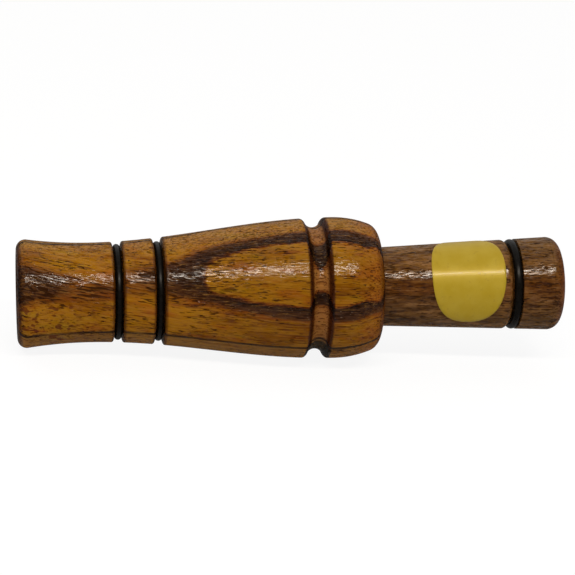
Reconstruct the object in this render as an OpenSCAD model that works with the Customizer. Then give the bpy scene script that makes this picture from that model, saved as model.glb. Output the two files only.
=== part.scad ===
// Wooden duck call, lying on its side.
// The call's axis runs along X: the mouth end is at -X and the exhaust end at +X.
// The origin is on that axis, half way along the call.
// Outlines are lists of [place along the axis from the mouth end, radius].

/* [Barrel outside] */
// Length of the barrel
barrel_len = 92.2; // [89:0.1:97]
// Diameter over the lip
lip_d = 27.5; // [26.6:0.1:30]
// Rounding of the lip's outer corner
lip_round = 2.4; // [1.2:0.1:2.8]
// Distance from the mouth end to the waist
waist_place = 18; // [15:0.1:20]
// Diameter at the waist
waist_d = 25.3; // [24.4:0.1:26.4]
// Diameter at the crest of the bulge
bulge_d = 36.2; // [34:0.1:39]
// Distance from the crest of the bulge back to the barrel's rear face
crest_back = 11.6; // [11:0.1:13]
// Radius of the curve that falls from the crest to the rear corner
shoulder_curve = 26.1; // [23:0.1:30]
// Rounding of the barrel's rear corner
rear_round = 3.7; // [2.5:0.1:5]

/* [Ring grooves in the barrel] */
// Distance from the mouth end to the front ring
front_ring_place = 25.3; // [24.5:0.1:27]
// Distance from the mouth end to the rear ring
rear_ring_place = 35.6; // [34:0.1:39]
// Thickness of a barrel ring
barrel_ring_t = 1.8; // [1.6:0.1:2.2]
// Width of a barrel ring's groove beyond the ring's thickness
ring_side_play = 0.5; // [0.3:0.05:0.7]
// Depth of the front ring's crown below the wood
front_ring_recess = 0.65; // [0.4:0.05:1.1]
// Depth of the rear ring's crown below the wood
rear_ring_recess = 0.95; // [0.4:0.05:1.1]
// Rounding of the groove's corners
ring_groove_round = 0.6; // [0.2:0.05:0.7]
// Rounding at the groove's floor
ring_floor_round = 0.3; // [0.1:0.05:0.4]

/* [Lanyard groove] */
// Distance from the middle of the groove to the barrel's rear face
lanyard_back = 16.6; // [16:0.1:20]
// Width of the groove over its rounded corners
lanyard_w = 7; // [6.4:0.1:8]
// Depth of the groove at its middle
lanyard_depth = 2.45; // [1.8:0.05:2.8]
// Rounding of the groove's corners
lanyard_corner_round = 1.2; // [0.8:0.1:1.6]

/* [Barrel bore] */
// Diameter where the mouth's flare starts
flare_d = 20; // [18:0.1:21.5]
// Depth of the mouth's flare
flare_depth = 8; // [5:0.5:10]
// Diameter of the throat
throat_d = 12.7; // [12.4:0.1:13.5]
// Diameter of the socket that takes the stopper
socket_d = 16; // [15.5:0.1:17]
// Free length of the socket ahead of the sounding board
tip_room = 5; // [3:0.5:7]
// Chamfer at the socket's edge
socket_chamfer = 0.5; // [0.2:0.1:0.8]
// Angle of the cone that the boring bit leaves, from the axis
bit_angle = 59; // [45:1:75]

/* [Stopper] */
// Diameter where the stopper leaves the barrel
stopper_front_d = 20.2; // [19.2:0.1:21]
// Diameter that the taper would reach at the exhaust end
stopper_rear_d = 24.3; // [22.5:0.1:25]
// Rounding of the exhaust end
stopper_round = 3.1; // [2:0.1:4]
// Length of the tenon that enters the barrel
tenon_len = 20; // [17:0.5:22]
// Radial clearance of the tenon in the socket
tenon_clear = 0.05; // [0.02:0.01:0.1]
// Chamfer at the tenon's end
tenon_chamfer = 0.5; // [0.2:0.1:0.8]
// Diameter of the seat that holds the sounding board and the wedge
seat_d = 12; // [11.6:0.1:12.3]
// Depth of that seat from the tenon's end
seat_depth = 28; // [26:0.5:32]
// Diameter of the exhaust bore
exhaust_d = 11; // [9:0.1:11.4]
// Rounding of the exhaust bore's edge
exhaust_round = 1; // [0.5:0.1:1.5]

/* [Stopper ring] */
// Distance from the middle of the ring to the exhaust end
stopper_ring_back = 12.35; // [10:0.05:13]
// Thickness of the ring
stopper_ring_t = 2.2; // [1.8:0.1:2.6]
// Width of the notch in front of the ring
stopper_notch = 0.3; // [0.2:0.05:0.9]
// Rounding of the groove's front corner
stopper_groove_round = 1.5; // [0.8:0.05:1.8]
// Running clearance of the ring in its groove
ring_clear = 0.05; // [0.02:0.01:0.1]

/* [Sounding board, reed and wedge] */
// Reach of the sounding board beyond the tenon
board_reach = 40; // [36:0.5:43]
// Radial clearance of the board and the wedge in their seat
seat_clear = 0.05; // [0.02:0.01:0.1]
// Length of the board's level face between the wedge and the curve that falls away from the reed
board_flat = 2; // [1:0.5:5]
// Drop of that face at the tip
board_drop = 1.3; // [0.8:0.1:1.6]
// Rounding of the board's tip corners
board_tip_round = 3; // [2:0.1:4]
// Width of the air channel in the board
channel_w = 4.6; // [4:0.1:5.2]
// Depth of the channel at its closed end
channel_depth = 2.7; // [2.6:0.1:3]
// Distance from the board's tip to the channel's closed end
channel_start = 6; // [4:0.5:9]
// Slope of the channel's floor in degrees
channel_slope = 1.2; // [0:0.1:1.5]
// Length of the reed
reed_len = 57; // [52:0.5:60]
// Width of the reed
reed_w = 10.8; // [9:0.1:11.2]
// Thickness of the reed
reed_t = 0.35; // [0.25:0.05:0.5]
// Rounding of the reed's tip corners
reed_tip_round = 2.8; // [1.5:0.1:4]
// Distance from the board's tip to the reed's tip
reed_back = 0.6; // [0:0.1:1.5]
// Slip clearance on each face of the reed
reed_clear = 0.02; // [0.01:0.01:0.05]
// Length of the wedge inside the seat
wedge_in = 22; // [20:0.5:25]
// Reach of the wedge beyond the tenon
wedge_out = 3; // [2:0.1:4]
// Height of the wedge's nose above the reed
wedge_nose_h = 1.4; // [1:0.1:2.5]

/* [Label] */
// Distance from the barrel back to the label
label_ahead = 12.7; // [11:0.1:15]
// Width of the label along the axis
label_w = 19; // [16:0.1:20]
// Distance from the label back to the rounded corner of the ring's groove
label_behind = 0.55; // [0.1:0.05:2]
// Height of the label round the stopper
label_h = 29.5; // [20:0.1:30]
// Thickness of the label
label_t = 0.12; // [0.1:0.02:0.2]
// Angle of the label's middle above the front, in degrees
label_turn = 42; // [0:1:90]
// Squareness of the oval: 2 is an ellipse
label_squareness = 2.2; // [2:0.1:3]

/* [Hidden] */
// Steps in a small rounding, in the rounding of a ring groove's floor, and in a long curve
round_steps = 6;
floor_steps = 3;
curve_steps = 24;
// Points round the label's edge
label_points = 48;
// Overrun of cutting shapes
over = 0.5;
// Clearance of a seated ring and of the glued label
seated_clear = 0.02;
$fn = 96;

label_place = barrel_len + label_ahead + label_w / 2;
stopper_ring_place = label_place + label_w / 2 + label_behind
    + stopper_groove_round + stopper_notch + stopper_ring_t / 2;
overall_len = stopper_ring_place + stopper_ring_back;
lip_r = lip_d / 2;
waist_r = waist_d / 2;
bulge_r = bulge_d / 2;
crest_place = barrel_len - crest_back;
lanyard_place = barrel_len - lanyard_back;
lanyard_floor_r = barrel_r(lanyard_place) - lanyard_depth;
tenon_place = barrel_len - tenon_len;
board_tip = tenon_place - board_reach;
board_len = board_reach + seat_depth - seat_clear;
board_r = seat_d / 2 - seat_clear;
board_curve_len = board_reach - wedge_out - board_flat;
socket_start = board_tip - tip_room;
seat_end = tenon_place + seat_depth;
reed_base = reed_clear;
wedge_base = reed_base + reed_t + reed_clear;

// Points of an arc about a centre, from angle a to angle b
function arc(centre, r, a, b, steps = round_steps) = [
    for (i = [0:steps])
        let (t = a + (b - a) * i / steps)
        centre + r * [cos(t), sin(t)]
];

// Share of the way from the waist to the crest of the bulge
function bulge_share(x) = (x - waist_place) / (crest_place - waist_place);

// Radius of the turned barrel, grooves left out
function barrel_r(x) =
    x < waist_place
        ? waist_r + (lip_r - waist_r) * pow((waist_place - x) / (waist_place - lip_round), 2)
        : waist_r + (bulge_r - waist_r) / 2 * (1 - cos(180 * bulge_share(x)));

// Radius of the stopper's taper
function stopper_r(x) =
    stopper_front_d / 2
    + (stopper_rear_d - stopper_front_d) / 2 * (x - barrel_len) / (overall_len - barrel_len);

// Points of the turned barrel between two places
function barrel_skin(a, b) =
    let (steps = ceil(curve_steps * (bulge_share(b) - bulge_share(a))))
    [for (i = [0:steps]) let (x = a + (b - a) * i / steps) [x, barrel_r(x)]];

// Radius at the middle of a barrel ring's section
function ring_middle_r(place, recess) = barrel_r(place) - recess - barrel_ring_t / 2;

// Points of a barrel ring's groove, rounded at the floor and at the corners
function ring_groove(place, recess) =
    let (
        front = place - (barrel_ring_t + ring_side_play) / 2,
        rear = place + (barrel_ring_t + ring_side_play) / 2,
        front_top = barrel_r(front - ring_groove_round) - ring_groove_round,
        rear_top = barrel_r(rear + ring_groove_round) - ring_groove_round,
        low = ring_middle_r(place, recess) - barrel_ring_t / 2 - seated_clear + ring_floor_round
    )
    concat(
        arc([front - ring_groove_round, front_top], ring_groove_round, 90, 0),
        arc([front + ring_floor_round, low], ring_floor_round, 180, 270, floor_steps),
        arc([rear - ring_floor_round, low], ring_floor_round, 270, 360, floor_steps),
        arc([rear + ring_groove_round, rear_top], ring_groove_round, 180, 90)
    );

// Points of one side of the round lanyard groove, from its corner to the middle of its floor
function cove_side(side) =
    let (
        edge = lanyard_place + side * lanyard_w / 2,
        corner_y = barrel_r(edge) - lanyard_corner_round,
        rise = corner_y - lanyard_floor_r,
        far = norm([lanyard_w / 2, rise]),
        r = (pow(far, 2) - pow(lanyard_corner_round, 2)) / 2 / (lanyard_corner_round + rise),
        lean = side * atan((r - rise) / (lanyard_w / 2))
    )
    concat(
        arc([edge, corner_y], lanyard_corner_round, 90, 90 + side * 90 - lean),
        arc([lanyard_place, lanyard_floor_r + r], r, 270 + side * 90 - lean, 270, 2 * round_steps)
    );

// Outline of a flat strip with two rounded corners at its tip
function strip(length, w, corner) = concat(
    arc([corner, w / 2 - corner], corner, 180, 90),
    [[length, w / 2], [length, -w / 2]],
    arc([corner, corner - w / 2], corner, 270, 180)
);

// A solid turned about the call's axis from an outline
module turned(outline) {
    translate([-overall_len / 2, 0, 0])
        rotate([0, 90, 0])
            rotate_extrude()
                polygon([for (p = outline) [p.y, p.x]]);
}

// A side view, given as [place along the axis, height], as thick as the board's seat
module side_cut(outline) {
    rotate([90, 0, 0])
        linear_extrude(seat_d + 2 * over, center = true)
            polygon(outline);
}

module along_axis(place) {
    translate([place - overall_len / 2, 0, 0])
        children();
}

module barrel() {
    shoulder_centre = [crest_place, bulge_r - shoulder_curve];
    rear_centre_x = barrel_len - rear_round;
    rear_centre = [
        rear_centre_x,
        shoulder_centre.y + sqrt(pow(shoulder_curve - rear_round, 2) - pow(rear_centre_x - crest_place, 2))
    ];
    meet = atan2(rear_centre.y - shoulder_centre.y, rear_centre.x - shoulder_centre.x);
    ring_half = barrel_ring_t / 2 + ring_side_play / 2 + ring_groove_round;
    rear_cove = cove_side(1);
    socket_r = socket_d / 2;
    throat_r = throat_d / 2;
    flare = [
        for (a = [0:90 / curve_steps:90])
            [flare_depth * (1 - cos(a)), flare_d / 2 - (flare_d / 2 - throat_r) * sin(a)]
    ];
    outline = concat(
        arc([lip_round, lip_r - lip_round], lip_round, 180, 90),
        barrel_skin(lip_round, front_ring_place - ring_half),
        ring_groove(front_ring_place, front_ring_recess),
        barrel_skin(front_ring_place + ring_half, rear_ring_place - ring_half),
        ring_groove(rear_ring_place, rear_ring_recess),
        barrel_skin(rear_ring_place + ring_half, lanyard_place - lanyard_w / 2),
        cove_side(-1),
        [for (i = [len(rear_cove) - 2:-1:0]) rear_cove[i]],
        barrel_skin(lanyard_place + lanyard_w / 2, crest_place),
        arc(shoulder_centre, shoulder_curve, 90, meet),
        arc(rear_centre, rear_round, meet, 0),
        [
            [barrel_len, socket_r + socket_chamfer],
            [barrel_len - socket_chamfer, socket_r],
            [socket_start, socket_r],
            [socket_start - (socket_r - throat_r) / tan(bit_angle), throat_r]
        ],
        [for (i = [len(flare) - 1:-1:0]) flare[i]]
    );
    color("#9c6a22")
        turned(outline);
}

module barrel_ring(place, recess) {
    color("#141414")
        along_axis(place)
            rotate([0, 90, 0])
                rotate_extrude()
                    translate([ring_middle_r(place, recess), 0])
                        circle(d = barrel_ring_t, $fn = 32);
}

module barrel_ring_front() barrel_ring(front_ring_place, front_ring_recess);

module barrel_ring_rear() barrel_ring(rear_ring_place, rear_ring_recess);

module stopper() {
    lean = atan((stopper_rear_d - stopper_front_d) / 2 / (overall_len - barrel_len));
    end_x = overall_len - stopper_round;
    end_centre = [end_x, stopper_r(end_x) - stopper_round / cos(lean)];
    groove_rear = stopper_ring_place + stopper_ring_t / 2 + ring_clear;
    groove_front = stopper_ring_place - stopper_ring_t / 2 - stopper_notch;
    groove_floor = stopper_r(stopper_ring_place) - stopper_ring_t - ring_clear;
    corner = stopper_groove_round;
    tenon_r = socket_d / 2 - tenon_clear;
    outline = concat(
        [
            [tenon_place, tenon_r - tenon_chamfer],
            [tenon_place + tenon_chamfer, tenon_r],
            [barrel_len, tenon_r],
            [barrel_len, stopper_r(barrel_len)]
        ],
        arc([groove_front - corner, stopper_r(groove_front - corner) - corner], corner, 90, 0),
        [
            [groove_front, groove_floor],
            [groove_rear, groove_floor],
            [groove_rear, stopper_r(groove_rear)]
        ],
        arc(end_centre, stopper_round, 90 + lean, 0, 2 * round_steps),
        arc([overall_len - exhaust_round, exhaust_d / 2 + exhaust_round], exhaust_round, 0, -90),
        [
            [seat_end, exhaust_d / 2],
            [seat_end, seat_d / 2],
            [tenon_place, seat_d / 2]
        ]
    );
    color("#6b4526")
        turned(outline);
}

module stopper_ring() {
    color("#141414")
        along_axis(stopper_ring_place)
            rotate([0, 90, 0])
                rotate_extrude()
                    translate([stopper_r(stopper_ring_place) - stopper_ring_t / 2, 0])
                        circle(d = stopper_ring_t, $fn = 32);
}

// Half-round sounding board: its flat face is on the axis and falls away from the reed to the tip
module tone_trough() {
    face = [
        for (i = [0:curve_steps])
            [board_curve_len * i / curve_steps, -board_drop * pow(1 - i / curve_steps, 2)]
    ];
    bottom = -board_r - over;
    channel_r = channel_w / 2;
    section = concat(
        arc([0, channel_r - channel_depth], channel_r, 180, 360, 2 * round_steps),
        [[channel_r, board_r], [-channel_r, board_r]]
    );
    color("#2b2622")
        along_axis(board_tip)
            difference() {
                intersection() {
                    rotate([0, 90, 0])
                        cylinder(r = board_r, h = board_len);
                    side_cut(concat(face, [[board_len + over, 0], [board_len + over, bottom], [0, bottom]]));
                    translate([0, 0, bottom])
                        linear_extrude(board_r + 2 * over)
                            polygon(strip(board_len + over, 2 * (board_r + over), board_tip_round));
                }
                translate([channel_start, 0, 0])
                    rotate([0, channel_slope, 0])
                        rotate([90, 0, 90])
                            linear_extrude(board_len)
                                polygon(section);
            }
}

module reed() {
    color("#e9e6da")
        along_axis(board_tip + reed_back)
            translate([0, 0, reed_base])
                linear_extrude(reed_t)
                    polygon(strip(reed_len, reed_w, reed_tip_round));
}

// Half-round wedge that grips the reed on the board, with a sloping nose to pull it by
module wedge() {
    top = board_r + over;
    length = wedge_in + wedge_out;
    nose_len = board_r - wedge_base - wedge_nose_h;
    color("#c49a62")
        along_axis(tenon_place - wedge_out)
            intersection() {
                rotate([0, 90, 0])
                    cylinder(r = board_r, h = length);
                side_cut([
                    [0, wedge_base],
                    [0, wedge_base + wedge_nose_h],
                    [nose_len, board_r],
                    [nose_len, top],
                    [length + over, top],
                    [length + over, wedge_base]
                ]);
            }
}

// Share of the oval's half width or half height, from a sine or a cosine
function oval_share(turn) = sign(turn) * pow(abs(turn), 2 / label_squareness);

// Oval label wrapped round the taper: its outline is the oval as seen straight on
module label() {
    wrap_r = stopper_r(label_place) + seated_clear + label_t;
    outline = [
        for (i = [0:label_points - 1])
            let (a = 360 * i / label_points)
            [
                label_w / 2 * oval_share(cos(a)),
                wrap_r * sin(label_h / 2 * oval_share(sin(a)) / wrap_r * 180 / PI)
            ]
    ];
    front = label_place - label_w / 2 - over;
    rear = label_place + label_w / 2 + over;
    color("#c9a93c")
        intersection() {
            difference() {
                label_cone(front, rear, seated_clear + label_t);
                label_cone(front - over, rear + over, seated_clear);
            }
            along_axis(label_place)
                rotate([90 - label_turn, 0, 0])
                    linear_extrude(wrap_r + over)
                        polygon(outline);
        }
}

module label_cone(front, rear, lift) {
    turned([[front, 0], [front, stopper_r(front) + lift], [rear, stopper_r(rear) + lift], [rear, 0]]);
}

barrel();
barrel_ring_front();
barrel_ring_rear();
stopper();
stopper_ring();
tone_trough();
reed();
wedge();
label();
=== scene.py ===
"""Looks of a wooden duck call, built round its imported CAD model.

Sizes are in millimetres until a mesh is made, and places along the axis are counted from the mouth end,
as in the CAD model. Wood looks are worked out in the piece's own frame, in millimetres, so the grain runs
through the solid.
"""

import math

import bpy
from mathutils import Matrix, Vector


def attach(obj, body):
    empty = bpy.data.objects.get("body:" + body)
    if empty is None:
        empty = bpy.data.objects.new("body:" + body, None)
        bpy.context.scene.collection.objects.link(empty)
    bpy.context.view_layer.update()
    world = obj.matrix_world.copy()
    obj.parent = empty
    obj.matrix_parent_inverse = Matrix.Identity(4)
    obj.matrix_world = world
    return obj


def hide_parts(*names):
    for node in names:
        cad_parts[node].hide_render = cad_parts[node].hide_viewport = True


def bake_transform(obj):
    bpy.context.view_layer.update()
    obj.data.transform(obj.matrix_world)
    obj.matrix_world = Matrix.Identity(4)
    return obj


MM = 0.001
IMAGE_SIDE = 575

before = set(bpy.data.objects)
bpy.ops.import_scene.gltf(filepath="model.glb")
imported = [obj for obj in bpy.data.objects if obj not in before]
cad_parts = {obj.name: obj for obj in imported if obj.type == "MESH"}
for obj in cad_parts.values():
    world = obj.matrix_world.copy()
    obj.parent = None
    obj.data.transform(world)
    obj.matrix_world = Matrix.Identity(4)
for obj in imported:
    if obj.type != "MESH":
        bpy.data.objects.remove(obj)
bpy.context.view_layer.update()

# Sizes, as in the CAD model

BARREL_LEN = 92.2
LIP_R = 13.75
LIP_ROUND = 2.4
WAIST_PLACE = 18.0
WAIST_R = 12.65
BULGE_R = 18.1
CREST_PLACE = BARREL_LEN - 11.6
SHOULDER_CURVE = 26.1
REAR_ROUND = 3.7
FRONT_RING_PLACE = 25.3
REAR_RING_PLACE = 35.6
BARREL_RING_T = 1.8
RING_SIDE_PLAY = 0.5
FRONT_RING_RECESS = 0.65
REAR_RING_RECESS = 0.95
RING_GROOVE_ROUND = 0.6
RING_FLOOR_ROUND = 0.3
LANYARD_PLACE = BARREL_LEN - 16.6
LANYARD_W = 7.0
LANYARD_DEPTH = 2.45
LANYARD_CORNER_ROUND = 1.2
FLARE_R = 10.0
FLARE_DEPTH = 8.0
THROAT_R = 6.35
SOCKET_R = 8.0
SOCKET_CHAMFER = 0.5
BIT_ANGLE = 59.0

TENON_LEN = 20.0
TENON_CLEAR = 0.05
TENON_CHAMFER = 0.5
STOPPER_FRONT_R = 10.1
STOPPER_REAR_R = 12.15
STOPPER_ROUND = 3.1
SEAT_R = 6.0
SEAT_DEPTH = 28.0
EXHAUST_R = 5.5
EXHAUST_ROUND = 1.0
STOPPER_RING_T = 2.2
STOPPER_RING_BACK = 12.35
STOPPER_NOTCH = 0.3
STOPPER_GROOVE_ROUND = 1.5
RING_CLEAR = 0.05
SEATED_CLEAR = 0.02

BOARD_REACH = 40.0
TIP_ROOM = 5.0
REED_BACK = 0.6
REED_LEN = 57.0
REED_W = 10.8
REED_T = 0.35
REED_TIP_ROUND = 2.8
REED_CLEAR = 0.02

LABEL_AHEAD = 12.7
LABEL_W = 19.0
LABEL_BEHIND = 0.55
LABEL_H = 29.5
LABEL_T = 0.12
LABEL_TURN = 42.0
LABEL_SQUARENESS = 2.2

LABEL_PLACE = BARREL_LEN + LABEL_AHEAD + LABEL_W / 2
STOPPER_RING_PLACE = (
    LABEL_PLACE + LABEL_W / 2 + LABEL_BEHIND + STOPPER_GROOVE_ROUND + STOPPER_NOTCH + STOPPER_RING_T / 2
)
OVERALL_LEN = STOPPER_RING_PLACE + STOPPER_RING_BACK
TENON_PLACE = BARREL_LEN - TENON_LEN
BOARD_TIP = TENON_PLACE - BOARD_REACH
SOCKET_START = BOARD_TIP - TIP_ROOM
SEAT_END = TENON_PLACE + SEAT_DEPTH

# Steps in a small rounding, in the flare, round a ring's section and round the axis
ROUND_STEPS = 12
FLARE_STEPS = 24
SECTION_STEPS = 48
TURNS = 192
# Spacing of points along a long curve and along a straight stretch
SKIN_STEP = 0.7
LINE_STEP = 1.5
# Steps across the reed, along its rounded tip and along the rest of it
REED_ACROSS = 12
REED_TIP_STEPS = 10
REED_STEPS = 90
# Steps round the label and out from its middle, and how much its edge is eased
LABEL_SPOKES = 144
LABEL_RINGS = 16
LABEL_EASE = 0.06
# Points nearer than this are one point
SAME_POINT = 1e-6
# Angles, in degrees, above which an edge is shaded as sharp
SHARP = 40
ROUND_SHARP = 60
REED_SHARP = 30


def row_x(place):
    """X in the row frame, in millimetres, of a place along the axis."""
    return place - OVERALL_LEN / 2


# Outlines


def arc(x, r, radius, start, end, steps=ROUND_STEPS):
    """Points of an arc about (x, r), with angles in degrees."""
    angles = [math.radians(start + (end - start) * i / steps) for i in range(steps + 1)]
    return [(x + radius * math.cos(a), r + radius * math.sin(a)) for a in angles]


def line(x0, r0, x1, r1):
    """Points of a straight stretch, close enough together for even shading."""
    steps = max(1, math.ceil(math.hypot(x1 - x0, r1 - r0) / LINE_STEP))
    return [(x0 + (x1 - x0) * i / steps, r0 + (r1 - r0) * i / steps) for i in range(steps + 1)]


def barrel_r(x):
    """Radius of the turned barrel, grooves left out."""
    if x < WAIST_PLACE:
        return WAIST_R + (LIP_R - WAIST_R) * ((WAIST_PLACE - x) / (WAIST_PLACE - LIP_ROUND)) ** 2
    share = (x - WAIST_PLACE) / (CREST_PLACE - WAIST_PLACE)
    return WAIST_R + (BULGE_R - WAIST_R) / 2 * (1 - math.cos(math.pi * share))


def stopper_r(x):
    """Radius of the stopper's taper."""
    share = (x - BARREL_LEN) / (OVERALL_LEN - BARREL_LEN)
    return STOPPER_FRONT_R + (STOPPER_REAR_R - STOPPER_FRONT_R) * share


def barrel_skin(start, end):
    steps = math.ceil((end - start) / SKIN_STEP)
    places = [start + (end - start) * i / steps for i in range(steps + 1)]
    return [(x, barrel_r(x)) for x in places]


def ring_middle_r(place, recess):
    return barrel_r(place) - recess - BARREL_RING_T / 2


def ring_groove(place, recess):
    half = (BARREL_RING_T + RING_SIDE_PLAY) / 2
    front, rear, corner = place - half, place + half, RING_GROOVE_ROUND
    front_top = barrel_r(front - corner) - corner
    rear_top = barrel_r(rear + corner) - corner
    low = ring_middle_r(place, recess) - BARREL_RING_T / 2 - SEATED_CLEAR + RING_FLOOR_ROUND
    return (
        arc(front - corner, front_top, corner, 90, 0)
        + arc(front + RING_FLOOR_ROUND, low, RING_FLOOR_ROUND, 180, 270)
        + arc(rear - RING_FLOOR_ROUND, low, RING_FLOOR_ROUND, 270, 360)
        + arc(rear + corner, rear_top, corner, 180, 90)
    )


def cove_side(side):
    """One side of the round lanyard groove, from its corner to the middle of its floor."""
    edge = LANYARD_PLACE + side * LANYARD_W / 2
    corner = LANYARD_CORNER_ROUND
    corner_r = barrel_r(edge) - corner
    floor_r = barrel_r(LANYARD_PLACE) - LANYARD_DEPTH
    rise = corner_r - floor_r
    radius = ((LANYARD_W / 2) ** 2 + rise**2 - corner**2) / 2 / (corner + rise)
    lean = side * math.degrees(math.atan((radius - rise) / (LANYARD_W / 2)))
    turn = side * 90 - lean
    return arc(edge, corner_r, corner, 90, 90 + turn) + arc(
        LANYARD_PLACE, floor_r + radius, radius, 270 + turn, 270, 2 * ROUND_STEPS
    )


def barrel_outside():
    shoulder_r = BULGE_R - SHOULDER_CURVE
    rear_x = BARREL_LEN - REAR_ROUND
    rear_r = shoulder_r + math.sqrt((SHOULDER_CURVE - REAR_ROUND) ** 2 - (rear_x - CREST_PLACE) ** 2)
    meet = math.degrees(math.atan2(rear_r - shoulder_r, rear_x - CREST_PLACE))
    reach = (BARREL_RING_T + RING_SIDE_PLAY) / 2 + RING_GROOVE_ROUND
    return (
        arc(LIP_ROUND, LIP_R - LIP_ROUND, LIP_ROUND, 180, 90)
        + barrel_skin(LIP_ROUND, FRONT_RING_PLACE - reach)
        + ring_groove(FRONT_RING_PLACE, FRONT_RING_RECESS)
        + barrel_skin(FRONT_RING_PLACE + reach, REAR_RING_PLACE - reach)
        + ring_groove(REAR_RING_PLACE, REAR_RING_RECESS)
        + barrel_skin(REAR_RING_PLACE + reach, LANYARD_PLACE - LANYARD_W / 2)
        + cove_side(-1)
        + cove_side(1)[::-1]
        + barrel_skin(LANYARD_PLACE + LANYARD_W / 2, CREST_PLACE)
        + arc(CREST_PLACE, shoulder_r, SHOULDER_CURVE, 90, meet, 2 * ROUND_STEPS)
        + arc(rear_x, rear_r, REAR_ROUND, meet, 0)
        + line(BARREL_LEN, rear_r, BARREL_LEN, SOCKET_R + SOCKET_CHAMFER)
    )


def barrel_inside():
    cone = (SOCKET_R - THROAT_R) / math.tan(math.radians(BIT_ANGLE))
    flare = [
        (
            FLARE_DEPTH * (1 - math.cos(a)),
            FLARE_R - (FLARE_R - THROAT_R) * math.sin(a),
        )
        for a in (math.radians(90 * i / FLARE_STEPS) for i in range(FLARE_STEPS, -1, -1))
    ]
    return (
        line(BARREL_LEN, SOCKET_R + SOCKET_CHAMFER, BARREL_LEN - SOCKET_CHAMFER, SOCKET_R)
        + line(BARREL_LEN - SOCKET_CHAMFER, SOCKET_R, SOCKET_START, SOCKET_R)
        + line(SOCKET_START, SOCKET_R, SOCKET_START - cone, THROAT_R)
        + line(SOCKET_START - cone, THROAT_R, FLARE_DEPTH, THROAT_R)
        + flare
        + line(0, FLARE_R, 0, LIP_R - LIP_ROUND)
    )


def stopper_outside():
    slope = (STOPPER_REAR_R - STOPPER_FRONT_R) / (OVERALL_LEN - BARREL_LEN)
    lean = math.degrees(math.atan(slope))
    end_x = OVERALL_LEN - STOPPER_ROUND
    end_r = stopper_r(end_x) - STOPPER_ROUND / math.cos(math.radians(lean))
    groove_rear = STOPPER_RING_PLACE + STOPPER_RING_T / 2 + RING_CLEAR
    groove_front = STOPPER_RING_PLACE - STOPPER_RING_T / 2 - STOPPER_NOTCH
    floor_r = stopper_r(STOPPER_RING_PLACE) - STOPPER_RING_T - RING_CLEAR
    corner = STOPPER_GROOVE_ROUND
    corner_r = stopper_r(groove_front - corner) - corner
    bore_edge_r = EXHAUST_R + EXHAUST_ROUND
    return (
        line(BARREL_LEN, stopper_r(BARREL_LEN), groove_front - corner, corner_r + corner)
        + arc(groove_front - corner, corner_r, corner, 90, 0)
        + line(groove_front, corner_r, groove_front, floor_r)
        + line(groove_front, floor_r, groove_rear, floor_r)
        + line(groove_rear, floor_r, groove_rear, stopper_r(groove_rear))
        + line(groove_rear, stopper_r(groove_rear), end_x, stopper_r(end_x))
        + arc(end_x, end_r, STOPPER_ROUND, 90 + lean, 0)
        + line(OVERALL_LEN, end_r, OVERALL_LEN, bore_edge_r)
        + arc(OVERALL_LEN - EXHAUST_ROUND, bore_edge_r, EXHAUST_ROUND, 0, -90)
    )


def stopper_inside():
    tenon_r = SOCKET_R - TENON_CLEAR
    return (
        line(OVERALL_LEN - EXHAUST_ROUND, EXHAUST_R, SEAT_END, EXHAUST_R)
        + line(SEAT_END, EXHAUST_R, SEAT_END, SEAT_R)
        + line(SEAT_END, SEAT_R, TENON_PLACE, SEAT_R)
        + line(TENON_PLACE, SEAT_R, TENON_PLACE, tenon_r - TENON_CHAMFER)
        + line(TENON_PLACE, tenon_r - TENON_CHAMFER, TENON_PLACE + TENON_CHAMFER, tenon_r)
        + line(TENON_PLACE + TENON_CHAMFER, tenon_r, BARREL_LEN, tenon_r)
        + line(BARREL_LEN, tenon_r, BARREL_LEN, stopper_r(BARREL_LEN))
    )


# Meshes


def placed(name, data):
    """An object in the scene."""
    obj = bpy.data.objects.new(name, data)
    bpy.context.scene.collection.objects.link(obj)
    return obj


def piece(name, points, faces, looks, body, node, face_looks=None, sharp=SHARP):
    """A smooth-shaded mesh, from points in millimetres in the row frame, that stands for a CAD node."""
    mesh = bpy.data.meshes.new(name)
    mesh.from_pydata([Vector(p) * MM for p in points], [], faces)
    mesh.validate()
    for look in looks:
        mesh.materials.append(look)
    if face_looks:
        mesh.polygons.foreach_set("material_index", face_looks)
    mesh.shade_smooth()
    mesh.set_sharp_from_angle(angle=math.radians(sharp))
    obj = placed(name, mesh)
    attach(obj, body)
    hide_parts(node)
    return obj


def turned(name, stretches, looks, body, node, sharp=SHARP):
    """A closed outline turned about the axis. Each stretch of it, given in turn, has its own look."""
    outline = []
    look_of = []
    for index, stretch in enumerate(stretches):
        for p in stretch:
            if outline and math.dist(p, outline[-1]) < SAME_POINT:
                continue
            outline.append(p)
            look_of.append(index)
    if math.dist(outline[0], outline[-1]) < SAME_POINT:
        outline.pop()
        look_of.pop()
    count = len(outline)
    angles = [2 * math.pi * k / TURNS for k in range(TURNS)]
    points = [(row_x(x), -r * math.cos(a), r * math.sin(a)) for x, r in outline for a in angles]
    faces = []
    face_looks = []
    for i in range(count):
        ahead = (i + 1) % count
        for k in range(TURNS):
            beside = (k + 1) % TURNS
            faces.append((i * TURNS + k, i * TURNS + beside, ahead * TURNS + beside, ahead * TURNS + k))
            face_looks.append(look_of[ahead])
    return piece(name, points, faces, looks, body, node, face_looks, sharp)


def ring(name, place, middle_r, thickness, rubber, body, node):
    section = arc(place, middle_r, thickness / 2, 0, 360, SECTION_STEPS)
    return turned(name, [section], [rubber], body, node, sharp=ROUND_SHARP)


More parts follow.
